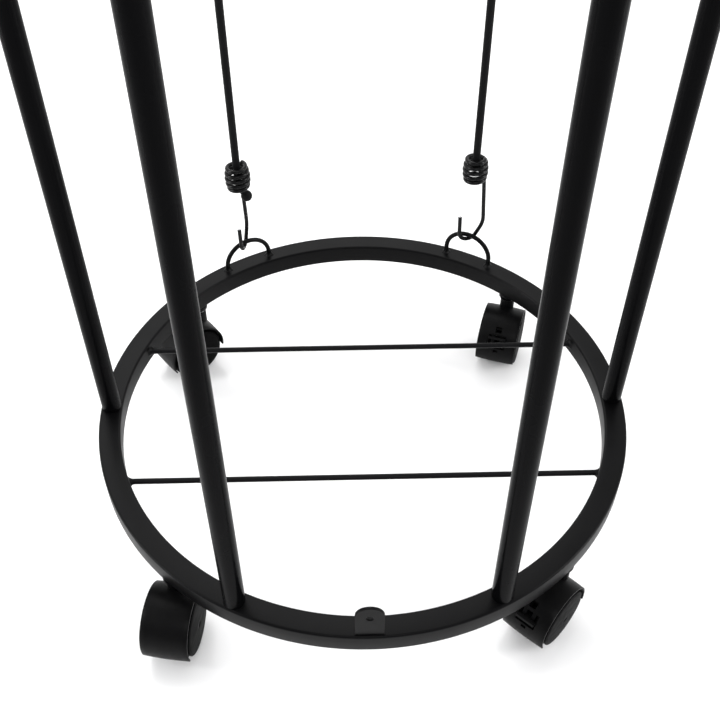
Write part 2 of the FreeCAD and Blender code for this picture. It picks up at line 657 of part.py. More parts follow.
def hook_path(side):
    """J path: down the shank, in at the knee, round under the ear and up to the tip."""
    ear_under = ear_crown(side) - EAR_WIRE_R
    bottom = ear_under - HOOK_CLEARANCE - HOOK_WIRE_R
    centre = Vector(HOOK_BEND_SHIFT, 0, bottom + HOOK_BEND_R)
    shank_top_x = COIL_MID_R - HOOK_WIRE_R - HOOK_SHANK_BURY
    start = Vector(-shank_top_x, 0, coil_low(side) + 2 * HOOK_WIRE_R)
    knee = Vector(-HOOK_SHANK, 0, ear_crown(side) + HOOK_KNEE_ABOVE_EAR)
    # The shank's lower run leaves the knee and meets the bend on a tangent.
    across = math.hypot(knee.x - centre.x, knee.z - centre.z)
    toward = math.atan2(knee.z - centre.z, knee.x - centre.x)
    touch_turn = toward + math.acos(HOOK_BEND_R / across)
    touch = centre + Vector(HOOK_BEND_R * math.cos(touch_turn), 0, HOOK_BEND_R * math.sin(touch_turn))
    below = centre + Vector(0, 0, -HOOK_BEND_R)
    rise = centre + Vector(HOOK_BEND_R, 0, 0)
    tip = Vector(rise.x + HOOK_TIP_FLARE, 0, ear_crown(side) + HOOK_TIP_ABOVE_EAR)
    # The knee is rounded as far as the run below it allows.
    down = (knee - start).normalize()
    inward = (touch - knee).normalize()
    half_turn = down.getAngle(inward) / 2
    setback = min(HOOK_KNEE_R * math.tan(half_turn), (touch - knee).Length / 2 - HOOK_WIRE_R / 2)
    radius = setback / math.tan(half_turn)
    knee_in = knee - down * setback
    knee_out = knee + inward * setback
    chord_middle = (knee_in + knee_out) * 0.5
    toward_knee = (knee - chord_middle).normalize()
    knee_middle = knee - toward_knee * (radius / math.cos(half_turn) - radius)
    edges = [Part.LineSegment(start, knee_in).toShape(),
             Part.Arc(knee_in, knee_middle, knee_out).toShape(),
             Part.LineSegment(knee_out, touch).toShape(),
             Part.Arc(touch, below, rise).toShape(),
             Part.LineSegment(rise, tip).toShape()]
    return Part.Wire(edges)


def make_hook(side):
    """Wire hook: wound coil and J-shaped shank in one piece."""
    coil = make_coil(side)
    shank = swept_wire(hook_path(side), HOOK_WIRE_R)
    inside = cylinder(KNOB_R + KNOB_CLEARANCE, coil_low(side), coil_high(side))
    return coil.fuse(shank.cut(inside)).removeSplitter()


def make_inner_knob(side):
    """Knob on the cord's end, caught inside the coil under its last turn."""
    return Part.makeSphere(KNOB_R, Vector(0, 0, knob_top(side) - KNOB_R))


def make_hanging_knob(side):
    """Cord end that comes out of the coil's lower mouth and carries its knob outside."""
    mouth = coil_low(side)
    beside = FreeCAD.Rotation(UP, -HOOK_HEADINGS[side]).multVec(Vector(KNOB_SIDE, 0, 0))
    knob_centre = Vector(beside.x, beside.y, mouth - KNOB_DROP)
    along = Vector(0, 0, mouth + KNOB_NECK_RISE) - knob_centre
    neck = Part.makeCylinder(KNOB_NECK_R, along.Length, knob_centre, along)
    room = cylinder(KNOB_R + KNOB_CLEARANCE / 2, mouth, coil_high(side))
    below = cylinder(KNOB_SIDE + 3 * KNOB_R, mouth - KNOB_DROP - 2 * KNOB_R, mouth - CORD_CLEARANCE)
    # A straight core joins the leaning neck's two lengths and runs up to the cord's end.
    core = cylinder(KNOB_NECK_R, mouth - 3 * CORD_CLEARANCE, coil_roof(side) - CORD_END_DEPTH)
    outer = Part.makeSphere(KNOB_R, knob_centre).fuse(neck).common(below)
    return outer.fuse([neck.common(room), core]).removeSplitter()


def place_on_cord(shape, side):
    """Turn a hook or knob to its heading and put it on its cord's line."""
    copy = shape.copy()
    copy.rotate(Vector(0, 0, 0), UP, HOOK_HEADINGS[side])
    copy.translate(polar(CORD_RADIUS, CORD_ANGLES[side]))
    return copy


def make_cords():
    """Elastic cords, lower and upper hooks and the knobs on the cords' ends."""
    nodes = {}
    upper_knobs = []
    for side, angle in CORD_ANGLES.items():
        hook = place_on_cord(make_hook(side), side)
        inner_knob = place_on_cord(make_inner_knob(side), side)
        nodes["lower_hook_" + side] = hook
        nodes["upper_hook_" + side] = mirrored(hook)
        upper_knobs.append(mirrored(inner_knob))
        cord_high = 2 * MIRROR_Z - knob_top(side) + KNOB_CLEARANCE
        if side == "left":
            nodes["cord_knob_left"] = place_on_cord(make_hanging_knob(side), side)
            cord_low = coil_roof(side) - CORD_END_DEPTH
            nodes["elastic_cord_left"] = cylinder(CORD_R, cord_low, cord_high, polar(CORD_RADIUS, angle))
        else:
            nodes["cord_knob_right"] = inner_knob
            cord = cylinder(CORD_R, knob_top(side) - KNOB_CLEARANCE, cord_high, polar(CORD_RADIUS, angle))
            nodes["elastic_cord_right"] = cord.cut(inner_knob)
        nodes["elastic_cord_" + side] = nodes["elastic_cord_" + side].cut(upper_knobs[-1])
    nodes["upper_cord_knobs"] = group(upper_knobs)
    return nodes


# ---- the whole rack ----
def main():
    os.makedirs("parts", exist_ok=True)
    nodes = {}
    nodes.update(make_rings())
    nodes.update(make_posts())
    nodes["post_inserts"] = group(make_inserts())
    screws = [make_screw(polar(RING_MID_R, angle)) for angle in POST_ANGLES.values()]
    nodes["base_post_screws"] = group(screws)
    nodes["top_post_screws"] = group([mirrored(screw) for screw in screws])
    nodes.update(make_cross_wires())
    tab = make_tab()
    nodes["anchor_tab_base"] = tab
    nodes["anchor_tab_top"] = mirrored(tab)
    for side in EAR_ANGLES:
        ear = make_ear(side)
        nodes["lower_ear_" + side] = ear
        nodes["upper_ear_" + side] = mirrored(ear)
    nodes["weld_beads"] = group(make_welds(tab))
    nodes.update(make_casters())
    nodes.update(make_cords())
    for name, shape in nodes.items():
        export(name, shape)
    print(len(nodes), "nodes written")


main()
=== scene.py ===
import json
import math

import bmesh
import bpy
from mathutils import Matrix, Vector, noise


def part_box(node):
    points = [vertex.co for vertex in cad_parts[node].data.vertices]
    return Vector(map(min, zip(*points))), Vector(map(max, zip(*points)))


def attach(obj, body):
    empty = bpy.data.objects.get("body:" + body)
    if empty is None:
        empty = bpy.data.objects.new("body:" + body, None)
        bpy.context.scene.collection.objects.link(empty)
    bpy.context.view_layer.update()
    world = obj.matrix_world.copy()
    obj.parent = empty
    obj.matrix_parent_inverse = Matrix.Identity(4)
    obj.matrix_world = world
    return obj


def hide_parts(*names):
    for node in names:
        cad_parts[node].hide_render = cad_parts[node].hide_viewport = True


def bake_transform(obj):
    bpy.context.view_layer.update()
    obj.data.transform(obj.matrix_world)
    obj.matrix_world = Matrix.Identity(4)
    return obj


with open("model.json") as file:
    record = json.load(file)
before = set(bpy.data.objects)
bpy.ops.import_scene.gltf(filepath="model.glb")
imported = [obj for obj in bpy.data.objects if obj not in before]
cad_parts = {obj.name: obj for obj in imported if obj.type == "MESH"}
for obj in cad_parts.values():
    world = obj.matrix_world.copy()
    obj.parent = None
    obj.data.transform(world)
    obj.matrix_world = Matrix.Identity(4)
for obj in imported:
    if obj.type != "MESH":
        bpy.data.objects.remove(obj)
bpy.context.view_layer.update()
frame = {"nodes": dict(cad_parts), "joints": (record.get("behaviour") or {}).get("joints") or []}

# Looks of the rolling ball storage rack. Metres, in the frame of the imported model: the floor is z = 0, the open
# side with the elastic cords faces +Y and the camera looks down from -Y into the base ring.

MM = 0.001
SIDES = ("left", "right")
CORNERS = ("rear_left", "rear_right", "front_right", "front_left")
BRAKED_CORNERS = ("rear_right", "front_right")
POSTS = ("post_right", "post_left", "post_rear_right", "post_rear_left")
CROSS_WIRES = ("cross_wire_rear", "cross_wire_front")
EARS = ("lower_ear_left", "lower_ear_right", "upper_ear_left", "upper_ear_right")

# ---- sizes that the looks need, all read from the frame ----
BASE_LOW, BASE_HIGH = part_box("base_ring")
TOP_RING_LOW_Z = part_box("top_ring")[0].z
TUBE = BASE_HIGH.z - BASE_LOW.z
RING_INNER_R = BASE_HIGH.x - TUBE
RING_MID_R = BASE_HIGH.x - TUBE / 2
MIRROR_Z = (BASE_HIGH.z + TOP_RING_LOW_Z) / 2

# ---- wire hooks: a wound coil, a straight shank, a knee and the bend that goes round the ear ----
HOOK_HEADINGS = {"left": -102.0, "right": 195.0}
WIRE_R = 1.4 * MM
COIL_LENGTH = 19.4 * MM
COIL_TURNS = 4.88
COIL_FLAT_TURNS = 0.25
COIL_START_TURN = math.radians(205)
COIL_MID_R = 8.8 * MM
COIL_END_R = 6.8 * MM
COIL_SWELL = (0.12, 0.94)
SHANK_TOP_X = -7.0 * MM
SHANK_X = -9.6 * MM
KNEE_RISE = 12.5 * MM
BEND_R = 6.6 * MM
BEND_X = 1.2 * MM
TIP_RISE = 22.5 * MM
TIP_FLARE = 0.4 * MM
CUT_END = 1.6 * MM
COIL_POINTS = 200
COIL_EXIT = Vector((0.1, -0.2, -0.9)) * MM
SHANK_SHARES = (0.10, 0.5, 0.75)
BEND_DEGREES = range(215, 366, 15)
HOOK_RESOLUTION = 12
WIRE_STEP = 0.7 * MM
WIRE_SIDES = 20
END_TAPERS = (0.72, 0.95)
END_STEP = 0.45

# ---- elastic cords ----
CORD_DIAMETER = 5.2 * MM
CORD_STEP = 0.45 * MM
CORD_SIDES = 40
BRAID_CARRIERS = 8
BRAID_PITCH = 3.4 * MM
BRAID_DEPTH = 0.28 * MM
BRAID_ROUNDNESS = 0.6
BRAID_LEVEL = 0.68
CORD_END_R = 2.3 * MM
CORD_BITE = 0.3 * MM

# ---- knobs ----
KNOB_R = 3.9 * MM
INNER_KNOB_R = KNOB_R * 0.97
KNOB_SIDE = 4.8 * MM
KNOB_DROP = 6.5 * MM
KNOB_SIDES = 40
KNOB_BALL_DEGREES = range(-60, 61, 10)
# Place along the axis and distance from it, in knob radii.
KNOB_COLLAR = [(-0.97, 0.10), (-0.965, 0.22), (-0.93, 0.36)]
KNOB_GATE_MARK = [(0.90, 0.50), (0.93, 0.44), (0.99, 0.30), (0.995, 0.10)]

# ---- rings ----
RING_CORNER_R = 1.4 * MM
RING_SIDES = 384
CORNER_STEPS = 6

# ---- ears ----
EAR_WIRE_R = 1.6 * MM
EAR_SPAN = 33.0 * MM

# ---- wheels ----
WHEEL_FACE_SETBACK = 1.7 * MM
WHEEL_DOME = 0.9 * MM
WHEEL_SIDES = 128
WHEEL_INNER_V = 4.6 * MM
WHEEL_OUTER_V = 14.0 * MM
DISC_STEP = 3.4 * MM
DISC_EDGE = 0.6 * MM
DISC_EDGE_STEPS = 6
WHEEL_BORE_R = 2.1 * MM
WHEEL_HUB_R = 6.0 * MM
WHEEL_RIM = 3.0 * MM
WHEEL_WELL = 3.2 * MM
FACE_LIP = 0.9 * MM
FACE_GROOVE = 0.16 * MM
GATE_R = 1.7 * MM
GATE_DEPTH = 0.22 * MM
DOME_STEPS = 12

# ---- welds ----
WELD_SPREAD = 1.9 * MM
WELD_LENGTH = 2.4 * MM
WELD_INSET = 0.15 * MM
FILLET_SIDES = 36
FILLET_RINGS = 9
FILLET_FIT = 1.02
FILLET_CURVE = 2.1
RIPPLES = 5
RIPPLE_DEPTH = 0.10
RIPPLE_TWIST = 3
FILLET_CREST = 0.2
LUMP_SCALE = 420
LUMP_SIZE = 0.45 * MM
TACK_PUDDLES = 5
TACK_LENGTH = 8.4 * MM
TACK_END = 2.4 * MM
PUDDLE_R = 1.75 * MM
PUDDLE_VARIES = 0.2 * MM
PUDDLE_PHASE = 2.4
PUDDLE_ROWS = 8
PUDDLE_POINTS = 24
PUDDLE_NARROWS = 0.35
PUDDLE_TILT = 0.15

# ---- edges of the CAD nodes that show ----
MERGE_DISTANCE = 0.005 * MM
BEVEL_SEGMENTS = 2
BEVEL_ANGLE = math.radians(40)
EDGE_ROUND = 0.25 * MM
NUT_EDGE_ROUND = 0.3 * MM
STEM_EDGE_ROUND = 0.15 * MM

# ---- how much lighter than the film the grains are, and the painted highlight, partly wear, on sharp edges ----
POWDER_GRAIN_LIFT = 2.4
POWDER_EDGE_WEAR_AND_HIGHLIGHT_LIFT = 3.0
NYLON_EDGE_WEAR_AND_HIGHLIGHT_LIFT = 2.2
BLACK = (0.0, 0.0, 0.0)

# ---- camera, surroundings and lamps ----
CAMERA_LENS = 51.56
SENSOR_WIDTH = 36.0
CLIP_START, CLIP_END = 0.01, 60.0
CAMERA_PLACE = (-0.00977, -0.43354, 0.55524)
CAMERA_FORWARD = Vector((0.01335, 0.69245, -0.72134))
CAMERA_ROLL = math.radians(0.228)
FLOOR_SIZE = 6.0
FLOOR_SEGMENTS = 8
WORLD_STRENGTH = 1.35
WORLD_STOPS = ((0.10, (0.30, 0.30, 0.31, 1.0)), (0.85, (1.0, 1.0, 1.0, 1.0)))
LAMP_TARGET = (0, 0, 0.2)
# Name, place, width, height and power.
LAMPS = (("key", (-0.5, 1.6, 2.6), 2.2, 2.2, 34.0),
         ("left_strip", (-1.9, -0.3, 1.0), 0.35, 1.5, 24.0),
         ("right_strip", (1.9, -0.3, 1.0), 0.35, 1.5, 24.0),
         ("near_softbox", (0.0, -1.7, 2.0), 1.2, 0.5, 10.0))


# ---- small helpers ----
def link(data, name):
    """New object in the scene with this mesh, camera or light."""
    made = bpy.data.objects.new(name, data)
    bpy.context.scene.collection.objects.link(made)
    return made


def to_object(bm, name):
    """Object from a bmesh, with outward faces and smooth shading."""
    bmesh.ops.recalc_face_normals(bm, faces=bm.faces)
    mesh = bpy.data.meshes.new(name)
    bm.to_mesh(mesh)
    bm.free()
    for face in mesh.polygons:
        face.use_smooth = True
    return link(mesh, name)


def stand_in(piece, material, body, node):
    """Give a piece its material and body, and let it stand for a CAD node."""
    piece.data.materials.append(material)
    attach(piece, body)
    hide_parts(node)


def centre_of(node):
    """Middle of a node's box."""
    low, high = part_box(node)
    return (low + high) / 2


def skin(bm, loops, closed=True):
    """Quads between neighbouring loops of points. Closed loops also get a cap at each end."""
    rows = [[bm.verts.new(point) for point in loop] for loop in loops]
    count = len(rows[0])
    span = count if closed else count - 1
    for near, far in zip(rows, rows[1:]):
        for i in range(span):
            j = (i + 1) % count
            bm.faces.new((near[i], near[j], far[j], far[i]))
    if closed:
        bm.faces.new(list(reversed(rows[0])))
        bm.faces.new(rows[-1])


def circle(centre, side, up, radius, sides):
    """Points round a centre, from one cross direction to the other."""
    loop = []
    for i in range(sides):
        turn = 2 * math.pi * i / sides
        loop.append(centre + (side * math.cos(turn) + up * math.sin(turn)) * radius)
    return loop


def turning_frames(points):
    """Two cross directions at each point of a line, turned as little as possible along it."""
    frames = []
    side = None
    for i, point in enumerate(points):
        ahead = points[min(i + 1, len(points) - 1)]
        behind = points[max(i - 1, 0)]
        tangent = (ahead - behind).normalized()
        if side is None:
            side = tangent.orthogonal().normalized()
        side = (side - tangent * side.dot(tangent)).normalized()
        frames.append((side, tangent.cross(side)))
    return frames


def tube_loops(points, radii, sides):
    """Round cross-sections along a line."""
    frames = turning_frames(points)
    return [circle(point, side, up, radius, sides) for point, radius, (side, up) in zip(points, radii, frames)]


def even_points(points, step):
    """The same line with points a step apart."""
    made = [points[0].copy()]
    carried = 0.0
    for a, b in zip(points, points[1:]):
        length = (b - a).length
        if length < 1e-9:
            continue
        along = step - carried
        while along <= length:
            made.append(a.lerp(b, along / length))
            along += step
        carried = length - (along - step)
    if (made[-1] - points[-1]).length > step * 0.3:
        made.append(points[-1].copy())
    else:
        made[-1] = points[-1].copy()
    return made


def smooth_route(name, points, resolution=16):
    """Points along a NURBS spline that has these control points."""
    curve = bpy.data.curves.new(name, "CURVE")
    curve.dimensions = "3D"
    curve.resolution_u = resolution
    spline = curve.splines.new("NURBS")
    spline.points.add(len(points) - 1)
    for control, point in zip(spline.points, points):
        control.co = (point[0], point[1], point[2], 1.0)
    spline.order_u = 3
    spline.use_endpoint_u = True
    holder = bpy.data.objects.new(name, curve)
    mesh = bpy.data.meshes.new_from_object(holder)
    line = [vertex.co.copy() for vertex in mesh.vertices]
    bpy.data.objects.remove(holder)
    bpy.data.meshes.remove(mesh)
    return line


# ---- materials ----
def new_material(name, metallic=0.0, specular=0.5, coat=0.0, coat_roughness=0.2):
    """Material with an empty principled shader and object-space texture coordinates."""
    made = bpy.data.materials.new(name)
    made.use_nodes = True
    nodes = made.node_tree.nodes
    shader = nodes["Principled BSDF"]
    shader.inputs["Metallic"].default_value = metallic
    shader.inputs["Specular IOR Level"].default_value = specular
    shader.inputs["Coat Weight"].default_value = coat
    shader.inputs["Coat Roughness"].default_value = coat_roughness
    coords = nodes.new("ShaderNodeTexCoord")
    return made, shader, coords.outputs["Object"]


def lighter(colour, times):
    """The same colour, this many times as light."""
    return tuple(channel * times for channel in colour)


def add_noise(made, coords, scale, detail=4.0, roughness=0.55, stretch=None):
    """Noise texture in object space, stretched along an axis if asked."""
    nodes, links = made.node_tree.nodes, made.node_tree.links
    texture = nodes.new("ShaderNodeTexNoise")
    texture.inputs["Scale"].default_value = scale
    texture.inputs["Detail"].default_value = detail
    texture.inputs["Roughness"].default_value = roughness
    source = coords
    if stretch is not None:
        mapping = nodes.new("ShaderNodeMapping")
        mapping.inputs["Scale"].default_value = stretch
        links.new(coords, mapping.inputs["Vector"])
        source = mapping.outputs["Vector"]
    links.new(source, texture.inputs["Vector"])
    return texture.outputs["Fac"]


def add_ramp(made, factor, stops):
    """Colour ramp between (place, colour) stops."""
    nodes, links = made.node_tree.nodes, made.node_tree.links
    ramp = nodes.new("ShaderNodeValToRGB")
    elements = ramp.color_ramp.elements
    while len(elements) < len(stops):
        elements.new(0.5)
    for element, (place, colour) in zip(elements, stops):
        element.position = place
        element.color = (*colour, 1.0)
    links.new(factor, ramp.inputs["Fac"])
    return ramp.outputs["Color"]


def add_range(made, factor, low, high, start=0.3, end=0.7):
    """Factor mapped from a start and end to a low and high value."""
    nodes, links = made.node_tree.nodes, made.node_tree.links
    mapped = nodes.new("ShaderNodeMapRange")
    mapped.inputs["From Min"].default_value = start
    mapped.inputs["From Max"].default_value = end
    mapped.inputs["To Min"].default_value = low
    mapped.inputs["To Max"].default_value = high
    links.new(factor, mapped.inputs["Value"])
    return mapped.outputs["Result"]


def add_bump(made, shader, height, strength, distance, below=None):
    """Bump under the shader's normal, stacked on an earlier one."""
    nodes, links = made.node_tree.nodes, made.node_tree.links
    bump = nodes.new("ShaderNodeBump")
    bump.inputs["Strength"].default_value = strength
    bump.inputs["Distance"].default_value = distance
    links.new(height, bump.inputs["Height"])
    if below is not None:
        links.new(below, bump.inputs["Normal"])
    links.new(bump.outputs["Normal"], shader.inputs["Normal"])
    return bump.outputs["Normal"]


def mix_colours(made, factor, a, b):
    """Colour a turned to colour b by a factor."""
    nodes, links = made.node_tree.nodes, made.node_tree.links
    mix = nodes.new("ShaderNodeMix")
    mix.data_type = "RGBA"
    links.new(factor, mix.inputs["Factor"])
    for socket, value in ((mix.inputs["A"], a), (mix.inputs["B"], b)):
        if isinstance(value, tuple):
            socket.default_value = (*value, 1.0)
        else:
            links.new(value, socket)
    return mix.outputs["Result"]


def powder_coat(name, dark, light, specular, roughness):
    """Satin black powder coat: fine orange peel, faint cloudy gloss, and a painted highlight on sharp edges that
    also stands for thinner, greyer film there.
    """
    made, shader, coords = new_material(name, specular=specular)
    links = made.node_tree.links
    cloud = add_noise(made, coords, 34.0, detail=3.0)
    speck = add_noise(made, coords, 2600.0, detail=2.0)
    peel = add_noise(made, coords, 780.0, detail=2.0, roughness=0.5)
    film = add_ramp(made, cloud, [(0.3, dark), (0.7, light)])
    grains = add_ramp(made, speck, [(0.60, BLACK), (0.80, (0.5, 0.5, 0.5))])
    coloured = mix_colours(made, grains, film, lighter(light, POWDER_GRAIN_LIFT))
    # Painted highlight: sharp edges (high pointiness) are lightened, standing for the highlight on rounded ridges
    # as well as for thinner film there.
    edges = made.node_tree.nodes.new("ShaderNodeNewGeometry").outputs["Pointiness"]
    edge_wear_and_highlight = add_range(made, edges, 0.0, 0.55, start=0.54, end=0.66)
    coloured = mix_colours(made, edge_wear_and_highlight, coloured, lighter(light, POWDER_EDGE_WEAR_AND_HIGHLIGHT_LIFT))
    links.new(coloured, shader.inputs["Base Color"])
    gloss = add_range(made, cloud, roughness - 0.05, roughness + 0.06)
    links.new(gloss, shader.inputs["Roughness"])
    coarse = add_bump(made, shader, peel, 0.10, 0.10 * MM)
    add_bump(made, shader, speck, 0.05, 0.05 * MM, below=coarse)
    return made


def moulded_nylon(name, dark, light, specular, roughness):
    """Matte moulded nylon: spark-eroded grain, slow cloudiness and a painted highlight on the edges that also
    stands for light scuffs.
    """
    made, shader, coords = new_material(name, specular=specular)
    links = made.node_tree.links
    cloud = add_noise(made, coords, 55.0, detail=3.0)
    texture = add_noise(made, coords, 1900.0, detail=3.0, roughness=0.6)
    scratches = add_noise(made, coords, 300.0, detail=6.0, stretch=(1.0, 0.12, 1.0))
    colour = add_ramp(made, cloud, [(0.3, dark), (0.7, light)])
    # Painted highlight: sharp edges are lightened, standing for the highlight on the rims as well as for scuffs.
    edges = made.node_tree.nodes.new("ShaderNodeNewGeometry").outputs["Pointiness"]
    edge_wear_and_highlight = add_range(made, edges, 0.0, 0.6, start=0.53, end=0.64)
    colour = mix_colours(made, edge_wear_and_highlight, colour, lighter(light, NYLON_EDGE_WEAR_AND_HIGHLIGHT_LIFT))
    links.new(colour, shader.inputs["Base Color"])
    gloss = add_range(made, scratches, roughness - 0.05, roughness + 0.08)
    links.new(gloss, shader.inputs["Roughness"])
    add_bump(made, shader, texture, 0.10, 0.08 * MM)
    return made


def plated_steel(name, dark, light, roughness):
    """Zinc-plated steel: turned lines and a faint spangle."""
    made, shader, coords = new_material(name, metallic=1.0)
    links = made.node_tree.links
    lines = add_noise(made, coords, 900.0, detail=3.0, stretch=(0.15, 0.15, 3.0))
    spangle = add_noise(made, coords, 420.0, detail=2.0)
    links.new(add_ramp(made, spangle, [(0.35, dark), (0.65, light)]), shader.inputs["Base Color"])
    links.new(add_range(made, lines, roughness - 0.08, roughness + 0.12), shader.inputs["Roughness"])
    add_bump(made, shader, lines, 0.12, 0.05 * MM)
    return made


def coated_wire():
    """Gloss black dipped coating with slight runs and nicks."""
    made, shader, coords = new_material("hook_wire_coating", specular=0.12, coat=0.08, coat_roughness=0.10)
    links = made.node_tree.links
    runs = add_noise(made, coords, 240.0, detail=3.0)
    nicks = add_noise(made, coords, 1500.0, detail=3.0)
    film = add_ramp(made, runs, [(0.3, (0.0015, 0.0015, 0.0017)), (0.7, (0.0035, 0.0035, 0.0039))])
    chipped = add_ramp(made, nicks, [(0.70, BLACK), (0.84, (0.6, 0.6, 0.6))])
    links.new(mix_colours(made, chipped, film, (0.05, 0.05, 0.053)), shader.inputs["Base Color"])
    links.new(add_range(made, runs, 0.20, 0.34), shader.inputs["Roughness"])
    add_bump(made, shader, runs, 0.18, 0.12 * MM)
    return made


def braid():
    """Black braided sleeve: twisted filament shine over the modelled strands."""
    made, shader, coords = new_material("elastic_braid", specular=0.07)
    links = made.node_tree.links
    shader.inputs["Sheen Weight"].default_value = 0.05
    shader.inputs["Sheen Roughness"].default_value = 0.45
    filaments = add_noise(made, coords, 2400.0, detail=4.0, stretch=(1.0, 1.0, 0.35))
    cloud = add_noise(made, coords, 160.0, detail=3.0)
    colour = add_ramp(made, filaments, [(0.35, (0.0020, 0.0020, 0.0024)), (0.70, (0.0080, 0.0080, 0.0088))])
    dusty = add_range(made, cloud, 0.0, 0.35)
    links.new(mix_colours(made, dusty, colour, (0.0070, 0.0070, 0.0074)), shader.inputs["Base Color"])
    links.new(add_range(made, filaments, 0.55, 0.78), shader.inputs["Roughness"])
    add_bump(made, shader, filaments, 0.35, 0.10 * MM)
    return made


def rubber():
    """Moulded rubber knob: soft grain and a dull bloom."""
    made, shader, coords = new_material("knob_rubber", specular=0.08)
    links = made.node_tree.links
    bloom = add_noise(made, coords, 220.0, detail=4.0)
    grain = add_noise(made, coords, 1600.0, detail=3.0)
    links.new(add_ramp(made, bloom, [(0.3, (0.0030, 0.0030, 0.0033)), (0.75, (0.0080, 0.0080, 0.0083))]),
              shader.inputs["Base Color"])
    links.new(add_range(made, bloom, 0.55, 0.75), shader.inputs["Roughness"])
    add_bump(made, shader, grain, 0.20, 0.10 * MM)
    return made


def pale_floor():
    """White studio floor with a faint, soft sheen."""
    made, shader, coords = new_material("studio_floor", specular=0.5)
    links = made.node_tree.links
    cloud = add_noise(made, coords, 1.2, detail=2.0)
    links.new(add_ramp(made, cloud, [(0.3, (0.90, 0.90, 0.90)), (0.7, (0.93, 0.93, 0.93))]),
              shader.inputs["Base Color"])
    links.new(add_range(made, cloud, 0.14, 0.20), shader.inputs["Roughness"])
    return made


POWDER = powder_coat("powder_coat", dark=(0.0014, 0.0014, 0.0016), light=(0.0024, 0.0024, 0.0027),
                     specular=0.085, roughness=0.36)
# Darker copy of the frame's powder coat for the posts: the darker colour is painted shade on the posts.
POST_SHADED_COAT = powder_coat("post_coat_painted_shade", dark=(0.0007, 0.0007, 0.0008), light=(0.0013, 0.0013, 0.0015),
                        specular=0.028, roughness=0.24)
HOOD_NYLON = moulded_nylon("caster_body_nylon", dark=(0.0018, 0.0018, 0.0019), light=(0.0030, 0.0030, 0.0032),
                           specular=0.08, roughness=0.40)
WHEEL_NYLON = moulded_nylon("caster_wheel_nylon", dark=(0.0009, 0.0009, 0.0010), light=(0.0016, 0.0016, 0.0017),
                            specular=0.03, roughness=0.50)
PEDAL_NYLON = moulded_nylon("brake_pedal_nylon", dark=(0.0022, 0.0022, 0.0023), light=(0.0036, 0.0036, 0.0038),
                            specular=0.10, roughness=0.40)
ZINC = plated_steel("bright_zinc", dark=(0.52, 0.53, 0.54), light=(0.72, 0.73, 0.74), roughness=0.30)
INSERT_STEEL = plated_steel("insert_zinc", dark=(0.40, 0.39, 0.34), light=(0.56, 0.55, 0.50), roughness=0.42)
SCREW_BLACK = plated_steel("screw_black_oxide", dark=(0.030, 0.030, 0.034), light=(0.060, 0.060, 0.066),
                           roughness=0.38)
WIRE_COAT = coated_wire()
CUT_STEEL = plated_steel("cut_wire_end", dark=(0.70, 0.70, 0.70), light=(0.90, 0.90, 0.90), roughness=0.34)
BRAID = braid()
RUBBER = rubber()


# ---- CAD nodes that stay: softened edges and their materials ----
def dress(node, material, edge=0.0):
    """Give a CAD node its material and, where its edges show, a small rounding."""
    shown = frame["nodes"][node]
    shown.data.materials.clear()
    shown.data.materials.append(material)
    if edge:
        weld = shown.modifiers.new("weld", "WELD")
        weld.merge_threshold = MERGE_DISTANCE
        bevel = shown.modifiers.new("edge_round", "BEVEL")
        bevel.width = edge
        bevel.segments = BEVEL_SEGMENTS
        bevel.limit_method = "ANGLE"
        bevel.angle_limit = BEVEL_ANGLE
        bevel.harden_normals = True


def dress_cad_nodes():
    """Materials of every CAD node that shows."""
    for node in POSTS:
        dress(node, POST_SHADED_COAT)
    for node in CROSS_WIRES + EARS:
        dress(node, POWDER)
    for node in ("anchor_tab_base", "anchor_tab_top"):
        dress(node, POWDER, EDGE_ROUND)
    dress("caster_weld_nuts", POWDER, NUT_EDGE_ROUND)
    dress("caster_stems", ZINC, STEM_EDGE_ROUND)
    dress("stem_snap_rings", ZINC)
    dress("post_inserts", INSERT_STEEL)
    dress("base_post_screws", SCREW_BLACK)
    dress("top_post_screws", SCREW_BLACK)
    for corner in CORNERS:
        dress(corner + "_caster_hood", HOOD_NYLON, EDGE_ROUND)
        dress(corner + "_caster_axle", ZINC)
    for corner in BRAKED_CORNERS:
        dress(corner + "_brake_pedal", PEDAL_NYLON, EDGE_ROUND)
        dress(corner + "_brake_pin", ZINC)


# ---- rings ----
def make_ring(node, name):
    """Smooth bent square tube with rounded corners, in place of the faceted CAD ring."""
    low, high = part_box(node)
    middle = (low.z + high.z) / 2
    reach = TUBE / 2 - RING_CORNER_R
    profile = []
    for corner_r, corner_z, begin in ((1, -1, -90), (1, 1, 0), (-1, 1, 90), (-1, -1, 180)):
        for step in range(CORNER_STEPS + 1):
            turn = math.radians(begin + 90 * step / CORNER_STEPS)
            profile.append((RING_MID_R + corner_r * reach + RING_CORNER_R * math.cos(turn),
                            middle + corner_z * reach + RING_CORNER_R * math.sin(turn)))
    bm = bmesh.new()
    rows = []
    for i in range(RING_SIDES):
        turn = 2 * math.pi * i / RING_SIDES
        rows.append([bm.verts.new((r * math.cos(turn), r * math.sin(turn), z)) for r, z in profile])
    count = len(profile)
    for near, far in zip(rows, rows[1:] + rows[:1]):
        for i in range(count):
            j = (i + 1) % count
            bm.faces.new((near[i], far[i], far[j], near[j]))
    stand_in(to_object(bm, name), POWDER, "frame", node)


# ---- welds ----
def lump(point):
    """Small uneven offset that depends only on the place."""
    return noise.noise(point * LUMP_SCALE) * LUMP_SIZE


